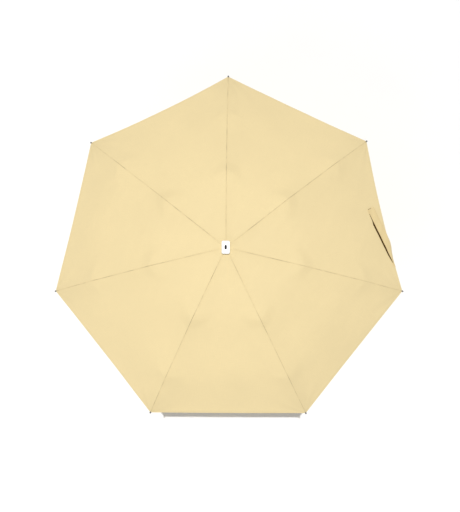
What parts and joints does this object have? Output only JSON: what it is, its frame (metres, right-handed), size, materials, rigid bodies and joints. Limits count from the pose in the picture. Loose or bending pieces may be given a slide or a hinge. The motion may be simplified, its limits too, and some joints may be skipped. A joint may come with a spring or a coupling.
{
  "type": "folding umbrella",
  "caption": "Compact folding umbrella with a telescopic shaft, jointed folding ribs, a fabric canopy with a tie strap and a square handle.",
  "frame": {"origin": "centre of the handle's bottom face", "axes": "+Z up along the shaft towards the canopy, +Y towards the first rib, +X to the right seen from above with +Y up"},
  "size_m": [0.9042, 0.8818, 0.5553],
  "materials": {
    "canopy_fabric": "water-repellent plain weave, satin",
    "strap_fabric": "plain weave, satin",
    "washer_fabric": "plain weave, matte",
    "rib_steel": "rolled, satin",
    "rod_steel": "drawn, satin",
    "wire_steel": "drawn, satin",
    "tube_aluminium": "anodised, satin",
    "black_plastic": "moulded, matte",
    "button_plastic": "moulded, matte",
    "white_plastic": "moulded, semi-gloss",
    "base_plastic": "moulded, matte",
    "dark_inlay": "moulded, semi-gloss"
  },
  "bodies": {
    "handle_body": {"handle": "white_plastic", "handle_base": "base_plastic", "handle_collar": "tube_aluminium", "lower_tube": "tube_aluminium"},
    "middle_tube_body": {"middle_tube": "tube_aluminium", "middle_tube_collar": "black_plastic"},
    "upper_frame": {"top_tube": "tube_aluminium", "top_tube_collar": "black_plastic", "crown": "black_plastic", "crown_ring": "wire_steel", "top_cap": "white_plastic", "cap_inlay": "dark_inlay", "canopy_washer": "washer_fabric", "canopy": "canopy_fabric", "tie_strap": "strap_fabric"},
    "runner_body": {"runner": "black_plastic", "runner_ring": "wire_steel"},
    "button_body": {"runner_button": "button_plastic"},
    "top_rib_1": {"top_rib_1": "rib_steel"},
    "stretcher_1": {"stretcher_1": "rib_steel"},
    "middle_rib_1": {"middle_rib_1": "rib_steel"},
    "outer_rib_1": {"outer_rib_1": "rod_steel"},
    "link_wire_1": {"link_wire_1": "wire_steel"},
    "control_wire_1": {"control_wire_1": "wire_steel"},
    "top_rib_2": {"top_rib_2": "rib_steel"},
    "stretcher_2": {"stretcher_2": "rib_steel"},
    "middle_rib_2": {"middle_rib_2": "rib_steel"},
    "outer_rib_2": {"outer_rib_2": "rod_steel"},
    "link_wire_2": {"link_wire_2": "wire_steel"},
    "control_wire_2": {"control_wire_2": "wire_steel"},
    "top_rib_3": {"top_rib_3": "rib_steel"},
    "stretcher_3": {"stretcher_3": "rib_steel"},
    "middle_rib_3": {"middle_rib_3": "rib_steel"},
    "outer_rib_3": {"outer_rib_3": "rod_steel"},
    "link_wire_3": {"link_wire_3": "wire_steel"},
    "control_wire_3": {"control_wire_3": "wire_steel"},
    "top_rib_4": {"top_rib_4": "rib_steel"},
    "stretcher_4": {"stretcher_4": "rib_steel"},
    "middle_rib_4": {"middle_rib_4": "rib_steel"},
    "outer_rib_4": {"outer_rib_4": "rod_steel"},
    "link_wire_4": {"link_wire_4": "wire_steel"},
    "control_wire_4": {"control_wire_4": "wire_steel"},
    "top_rib_5": {"top_rib_5": "rib_steel"},
    "stretcher_5": {"stretcher_5": "rib_steel"},
    "middle_rib_5": {"middle_rib_5": "rib_steel"},
    "outer_rib_5": {"outer_rib_5": "rod_steel"},
    "link_wire_5": {"link_wire_5": "wire_steel"},
    "control_wire_5": {"control_wire_5": "wire_steel"},
    "top_rib_6": {"top_rib_6": "rib_steel"},
    "stretcher_6": {"stretcher_6": "rib_steel"},
    "middle_rib_6": {"middle_rib_6": "rib_steel"},
    "outer_rib_6": {"outer_rib_6": "rod_steel"},
    "link_wire_6": {"link_wire_6": "wire_steel"},
    "control_wire_6": {"control_wire_6": "wire_steel"},
    "top_rib_7": {"top_rib_7": "rib_steel"},
    "stretcher_7": {"stretcher_7": "rib_steel"},
    "middle_rib_7": {"middle_rib_7": "rib_steel"},
    "outer_rib_7": {"outer_rib_7": "rod_steel"},
    "link_wire_7": {"link_wire_7": "wire_steel"},
    "control_wire_7": {"control_wire_7": "wire_steel"}
  },
  "joints": [
    {"name": "middle_tube_slide", "type": "slide", "parent": "handle_body", "child": "middle_tube_body", "axis": [0, 0, -1], "range_m": [0, 0.135]},
    {"name": "top_tube_slide", "type": "slide", "parent": "middle_tube_body", "child": "upper_frame", "axis": [0, 0, -1], "range_m": [0, 0.135]},
    {"name": "runner_slide", "type": "slide", "parent": "upper_frame", "child": "runner_body", "axis": [0, 0, -1], "range_m": [0, 0.12225], "deforming": ["canopy", "tie_strap"]},
    {"name": "button_press", "type": "slide", "parent": "runner_body", "child": "button_body", "axis": [0, 1, 0], "range_m": [0, 0.0012], "stiffness_N_per_m": 400, "springref_m": -0.0005},
    {"name": "top_rib_hinge_1", "type": "hinge", "parent": "upper_frame", "child": "top_rib_1", "pos_m": [0, 0.012, 0.53965], "axis": [-1, 0, 0], "range_deg": [0, 80.02]},
    {"name": "stretcher_hinge_1", "type": "hinge", "parent": "runner_body", "child": "stretcher_1", "pos_m": [-0.0022, 0.00821, 0.47775], "axis": [1, 0, 0], "range_deg": [0, 56.18]},
    {"name": "middle_rib_hinge_1", "type": "hinge", "parent": "top_rib_1", "child": "middle_rib_1", "pos_m": [-0.0023, 0.19548, 0.51588], "axis": [1, 0, 0], "range_deg": [0, 188.02]},
    {"name": "outer_rib_hinge_1", "type": "hinge", "parent": "middle_rib_1", "child": "outer_rib_1", "pos_m": [0, 0.35608, 0.45424], "axis": [-1, 0, 0], "range_deg": [0, 167.52]},
    {"name": "link_wire_hinge_1", "type": "hinge", "parent": "stretcher_1", "child": "link_wire_1", "pos_m": [-0.00415, 0.08652, 0.52296], "axis": [-1, 0, 0], "range_deg": [0, 136.95]},
    {"name": "control_wire_hinge_1", "type": "hinge", "parent": "top_rib_1", "child": "control_wire_1", "pos_m": [0.00195, 0.18756, 0.517], "axis": [1, 0, 0], "range_deg": [0, 187.88]},
    {"name": "top_rib_hinge_2", "type": "hinge", "parent": "upper_frame", "child": "top_rib_2", "pos_m": [-0.00938, 0.00748, 0.53965], "axis": [-0.6235, -0.7818, 0], "range_deg": [0, 80.02]},
    {"name": "stretcher_hinge_2", "type": "hinge", "parent": "runner_body", "child": "stretcher_2", "pos_m": [-0.00779, 0.0034, 0.47775], "axis": [0.6235, 0.7818, 0], "range_deg": [0, 56.18]},
    {"name": "middle_rib_hinge_2", "type": "hinge", "parent": "top_rib_2", "child": "middle_rib_2", "pos_m": [-0.15426, 0.12008, 0.51588], "axis": [0.6235, 0.7818, 0], "range_deg": [0, 188.02]},
    {"name": "outer_rib_hinge_2", "type": "hinge", "parent": "middle_rib_2", "child": "outer_rib_2", "pos_m": [-0.27839, 0.22201, 0.45424], "axis": [-0.6235, -0.7818, 0], "range_deg": [0, 167.52]},
    {"name": "link_wire_hinge_2", "type": "hinge", "parent": "stretcher_2", "child": "link_wire_2", "pos_m": [-0.07023, 0.0507, 0.52296], "axis": [-0.6235, -0.7818, 0], "range_deg": [0, 136.95]},
    {"name": "control_wire_hinge_2", "type": "hinge", "parent": "top_rib_2", "child": "control_wire_2", "pos_m": [-0.14542, 0.11846, 0.517], "axis": [0.6235, 0.7818, 0], "range_deg": [0, 187.88]},
    {"name": "top_rib_hinge_3", "type": "hinge", "parent": "upper_frame", "child": "top_rib_3", "pos_m": [-0.0117, -0.00267, 0.53965], "axis": [0.2225, -0.9749, 0], "range_deg": [0, 80.02]},
    {"name": "stretcher_hinge_3", "type": "hinge", "parent": "runner_body", "child": "stretcher_3", "pos_m": [-0.00751, -0.00397, 0.47775], "axis": [-0.2225, 0.9749, 0], "range_deg": [0, 56.18]},
    {"name": "middle_rib_hinge_3", "type": "hinge", "parent": "top_rib_3", "child": "middle_rib_3", "pos_m": [-0.19007, -0.04574, 0.51588], "axis": [-0.2225, 0.9749, 0], "range_deg": [0, 188.02]},
    {"name": "outer_rib_hinge_3", "type": "hinge", "parent": "middle_rib_3", "child": "outer_rib_3", "pos_m": [-0.34715, -0.07924, 0.45424], "axis": [0.2225, -0.9749, 0], "range_deg": [0, 167.52]},
    {"name": "link_wire_hinge_3", "type": "hinge", "parent": "stretcher_3", "child": "link_wire_3", "pos_m": [-0.08343, -0.0233, 0.52296], "axis": [0.2225, -0.9749, 0], "range_deg": [0, 136.95]},
    {"name": "control_wire_hinge_3", "type": "hinge", "parent": "top_rib_3", "child": "control_wire_3", "pos_m": [-0.18329, -0.03983, 0.517], "axis": [-0.2225, 0.9749, 0], "range_deg": [0, 187.88]},
    {"name": "top_rib_hinge_4", "type": "hinge", "parent": "upper_frame", "child": "top_rib_4", "pos_m": [-0.00521, -0.01081, 0.53965], "axis": [0.901, -0.4339, 0], "range_deg": [0, 80.02]},
    {"name": "stretcher_hinge_4", "type": "hinge", "parent": "runner_body", "child": "stretcher_4", "pos_m": [-0.00158, -0.00835, 0.47775], "axis": [-0.901, 0.4339, 0], "range_deg": [0, 56.18]},
    {"name": "middle_rib_hinge_4", "type": "hinge", "parent": "top_rib_4", "child": "middle_rib_4", "pos_m": [-0.08274, -0.17712, 0.51588], "axis": [-0.901, 0.4339, 0], "range_deg": [0, 188.02]},
    {"name": "outer_rib_hinge_4", "type": "hinge", "parent": "middle_rib_4", "child": "outer_rib_4", "pos_m": [-0.1545, -0.32082, 0.45424], "axis": [0.901, -0.4339, 0], "range_deg": [0, 167.52]},
    {"name": "link_wire_hinge_4", "type": "hinge", "parent": "stretcher_4", "child": "link_wire_4", "pos_m": [-0.0338, -0.07975, 0.52296], "axis": [0.901, -0.4339, 0], "range_deg": [0, 136.95]},
    {"name": "control_wire_hinge_4", "type": "hinge", "parent": "top_rib_4", "child": "control_wire_4", "pos_m": [-0.08313, -0.16814, 0.517], "axis": [-0.901, 0.4339, 0], "range_deg": [0, 187.88]},
    {"name": "top_rib_hinge_5", "type": "hinge", "parent": "upper_frame", "child": "top_rib_5", "pos_m": [0.00521, -0.01081, 0.53965], "axis": [0.901, 0.4339, 0], "range_deg": [0, 80.02]},
    {"name": "stretcher_hinge_5", "type": "hinge", "parent": "runner_body", "child": "stretcher_5", "pos_m": [0.00554, -0.00644, 0.47775], "axis": [-0.901, -0.4339, 0], "range_deg": [0, 56.18]},
    {"name": "middle_rib_hinge_5", "type": "hinge", "parent": "top_rib_5", "child": "middle_rib_5", "pos_m": [0.08689, -0.17512, 0.51588], "axis": [-0.901, -0.4339, 0], "range_deg": [0, 188.02]},
    {"name": "outer_rib_hinge_5", "type": "hinge", "parent": "middle_rib_5", "child": "outer_rib_5", "pos_m": [0.1545, -0.32082, 0.45424], "axis": [0.901, 0.4339, 0], "range_deg": [0, 167.52]},
    {"name": "link_wire_hinge_5", "type": "hinge", "parent": "stretcher_5", "child": "link_wire_5", "pos_m": [0.04128, -0.07615, 0.52296], "axis": [0.901, 0.4339, 0], "range_deg": [0, 136.95]},
    {"name": "control_wire_hinge_5", "type": "hinge", "parent": "top_rib_5", "child": "control_wire_5", "pos_m": [0.07962, -0.16983, 0.517], "axis": [-0.901, -0.4339, 0], "range_deg": [0, 187.88]},
    {"name": "top_rib_hinge_6", "type": "hinge", "parent": "upper_frame", "child": "top_rib_6", "pos_m": [0.0117, -0.00267, 0.53965], "axis": [0.2225, 0.9749, 0], "range_deg": [0, 80.02]},
    {"name": "stretcher_hinge_6", "type": "hinge", "parent": "runner_body", "child": "stretcher_6", "pos_m": [0.00849, 0.00032, 0.47775], "axis": [-0.2225, -0.9749, 0], "range_deg": [0, 56.18]},
    {"name": "middle_rib_hinge_6", "type": "hinge", "parent": "top_rib_6", "child": "middle_rib_6", "pos_m": [0.19109, -0.04126, 0.51588], "axis": [-0.2225, -0.9749, 0], "range_deg": [0, 188.02]},
    {"name": "outer_rib_hinge_6", "type": "hinge", "parent": "middle_rib_6", "child": "outer_rib_6", "pos_m": [0.34715, -0.07924, 0.45424], "axis": [0.2225, 0.9749, 0], "range_deg": [0, 167.52]},
    {"name": "link_wire_hinge_6", "type": "hinge", "parent": "stretcher_6", "child": "link_wire_6", "pos_m": [0.08528, -0.01521, 0.52296], "axis": [0.2225, 0.9749, 0], "range_deg": [0, 136.95]},
    {"name": "control_wire_hinge_6", "type": "hinge", "parent": "top_rib_6", "child": "control_wire_6", "pos_m": [0.18242, -0.04364, 0.517], "axis": [-0.2225, -0.9749, 0], "range_deg": [0, 187.88]},
    {"name": "top_rib_hinge_7", "type": "hinge", "parent": "upper_frame", "child": "top_rib_7", "pos_m": [0.00938, 0.00748, 0.53965], "axis": [-0.6235, 0.7818, 0], "range_deg": [0, 80.02]},
    {"name": "stretcher_hinge_7", "type": "hinge", "parent": "runner_body", "child": "stretcher_7", "pos_m": [0.00505, 0.00684, 0.47775], "axis": [0.6235, -0.7818, 0], "range_deg": [0, 56.18]},
    {"name": "middle_rib_hinge_7", "type": "hinge", "parent": "top_rib_7", "child": "middle_rib_7", "pos_m": [0.1514, 0.12368, 0.51588], "axis": [0.6235, -0.7818, 0], "range_deg": [0, 188.02]},
    {"name": "outer_rib_hinge_7", "type": "hinge", "parent": "middle_rib_7", "child": "outer_rib_7", "pos_m": [0.27839, 0.22201, 0.45424], "axis": [-0.6235, 0.7818, 0], "range_deg": [0, 167.52]},
    {"name": "link_wire_hinge_7", "type": "hinge", "parent": "stretcher_7", "child": "link_wire_7", "pos_m": [0.06506, 0.05719, 0.52296], "axis": [-0.6235, 0.7818, 0], "range_deg": [0, 136.95]},
    {"name": "control_wire_hinge_7", "type": "hinge", "parent": "top_rib_7", "child": "control_wire_7", "pos_m": [0.14785, 0.11541, 0.517], "axis": [0.6235, -0.7818, 0], "range_deg": [0, 187.88]}
  ],
  "couplings": [
    {"joint": "top_rib_hinge_1", "follows": "runner_slide", "rad_per_m": 11.422},
    {"joint": "stretcher_hinge_1", "follows": "runner_slide", "rad_per_m": 8.0184},
    {"joint": "middle_rib_hinge_1", "follows": "runner_slide", "rad_per_m": 26.841},
    {"joint": "outer_rib_hinge_1", "follows": "runner_slide", "rad_per_m": 23.914},
    {"joint": "link_wire_hinge_1", "follows": "runner_slide", "rad_per_m": 19.549},
    {"joint": "control_wire_hinge_1", "follows": "runner_slide", "rad_per_m": 26.821},
    {"joint": "top_rib_hinge_2", "follows": "runner_slide", "rad_per_m": 11.422},
    {"joint": "stretcher_hinge_2", "follows": "runner_slide", "rad_per_m": 8.0184},
    {"joint": "middle_rib_hinge_2", "follows": "runner_slide", "rad_per_m": 26.841},
    {"joint": "outer_rib_hinge_2", "follows": "runner_slide", "rad_per_m": 23.914},
    {"joint": "link_wire_hinge_2", "follows": "runner_slide", "rad_per_m": 19.549},
    {"joint": "control_wire_hinge_2", "follows": "runner_slide", "rad_per_m": 26.821},
    {"joint": "top_rib_hinge_3", "follows": "runner_slide", "rad_per_m": 11.422},
    {"joint": "stretcher_hinge_3", "follows": "runner_slide", "rad_per_m": 8.0184},
    {"joint": "middle_rib_hinge_3", "follows": "runner_slide", "rad_per_m": 26.841},
    {"joint": "outer_rib_hinge_3", "follows": "runner_slide", "rad_per_m": 23.914},
    {"joint": "link_wire_hinge_3", "follows": "runner_slide", "rad_per_m": 19.549},
    {"joint": "control_wire_hinge_3", "follows": "runner_slide", "rad_per_m": 26.821},
    {"joint": "top_rib_hinge_4", "follows": "runner_slide", "rad_per_m": 11.422},
    {"joint": "stretcher_hinge_4", "follows": "runner_slide", "rad_per_m": 8.0184},
    {"joint": "middle_rib_hinge_4", "follows": "runner_slide", "rad_per_m": 26.841},
    {"joint": "outer_rib_hinge_4", "follows": "runner_slide", "rad_per_m": 23.914},
    {"joint": "link_wire_hinge_4", "follows": "runner_slide", "rad_per_m": 19.549},
    {"joint": "control_wire_hinge_4", "follows": "runner_slide", "rad_per_m": 26.821},
    {"joint": "top_rib_hinge_5", "follows": "runner_slide", "rad_per_m": 11.422},
    {"joint": "stretcher_hinge_5", "follows": "runner_slide", "rad_per_m": 8.0184},
    {"joint": "middle_rib_hinge_5", "follows": "runner_slide", "rad_per_m": 26.841},
    {"joint": "outer_rib_hinge_5", "follows": "runner_slide", "rad_per_m": 23.914},
    {"joint": "link_wire_hinge_5", "follows": "runner_slide", "rad_per_m": 19.549},
    {"joint": "control_wire_hinge_5", "follows": "runner_slide", "rad_per_m": 26.821},
    {"joint": "top_rib_hinge_6", "follows": "runner_slide", "rad_per_m": 11.422},
    {"joint": "stretcher_hinge_6", "follows": "runner_slide", "rad_per_m": 8.0184},
    {"joint": "middle_rib_hinge_6", "follows": "runner_slide", "rad_per_m": 26.841},
    {"joint": "outer_rib_hinge_6", "follows": "runner_slide", "rad_per_m": 23.914},
    {"joint": "link_wire_hinge_6", "follows": "runner_slide", "rad_per_m": 19.549},
    {"joint": "control_wire_hinge_6", "follows": "runner_slide", "rad_per_m": 26.821},
    {"joint": "top_rib_hinge_7", "follows": "runner_slide", "rad_per_m": 11.422},
    {"joint": "stretcher_hinge_7", "follows": "runner_slide", "rad_per_m": 8.0184},
    {"joint": "middle_rib_hinge_7", "follows": "runner_slide", "rad_per_m": 26.841},
    {"joint": "outer_rib_hinge_7", "follows": "runner_slide", "rad_per_m": 23.914},
    {"joint": "link_wire_hinge_7", "follows": "runner_slide", "rad_per_m": 19.549},
    {"joint": "control_wire_hinge_7", "follows": "runner_slide", "rad_per_m": 26.821}
  ]
}
